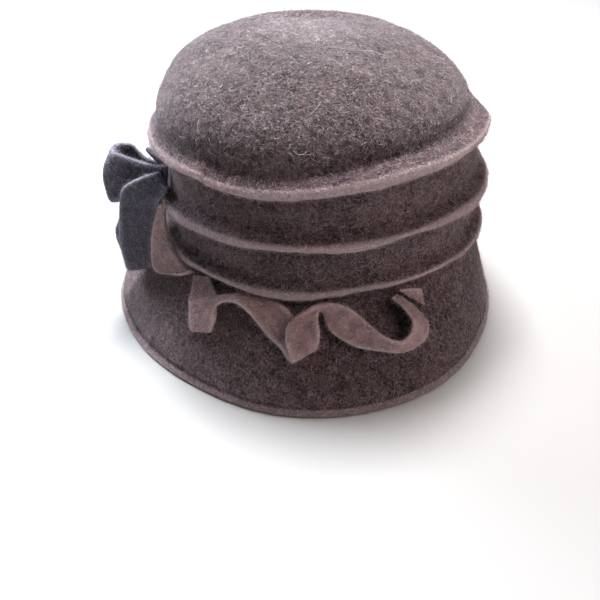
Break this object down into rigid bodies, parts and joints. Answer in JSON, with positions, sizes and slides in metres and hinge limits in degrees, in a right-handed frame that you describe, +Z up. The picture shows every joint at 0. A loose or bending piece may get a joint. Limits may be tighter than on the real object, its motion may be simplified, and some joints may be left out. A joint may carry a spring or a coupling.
{
  "type": "cloche hat",
  "caption": "Soft felt cloche hat: rounded dome, sewn tucks round the crown, flaring brim, a zigzag felt ruffle at the front and a felt bow at the side.",
  "frame": {"origin": "under the middle of the hat's outline, in the plane that the brim's edge rests on", "axes": "+Z up through the crown, -Y towards the front of the hat, where the brim is widest, +X to the wearer's left"},
  "size_m": [0.2582, 0.24, 0.1697],
  "materials": {
    "body_felt": "boiled wool felt, soft and slightly hairy, grey-brown with a mauve cast",
    "trim_felt": "the same boiled wool felt cut in strips, with paler fuzzy cut edges"
  },
  "bodies": {
    "root": {"crown_and_brim": "body_felt", "ruffle_strip": "trim_felt", "strip_end": "trim_felt", "bow_tail": "trim_felt", "bow_upper_loop": "trim_felt", "bow_lower_loop": "trim_felt", "bow_tip": "trim_felt"}
  },
  "joints": []
}
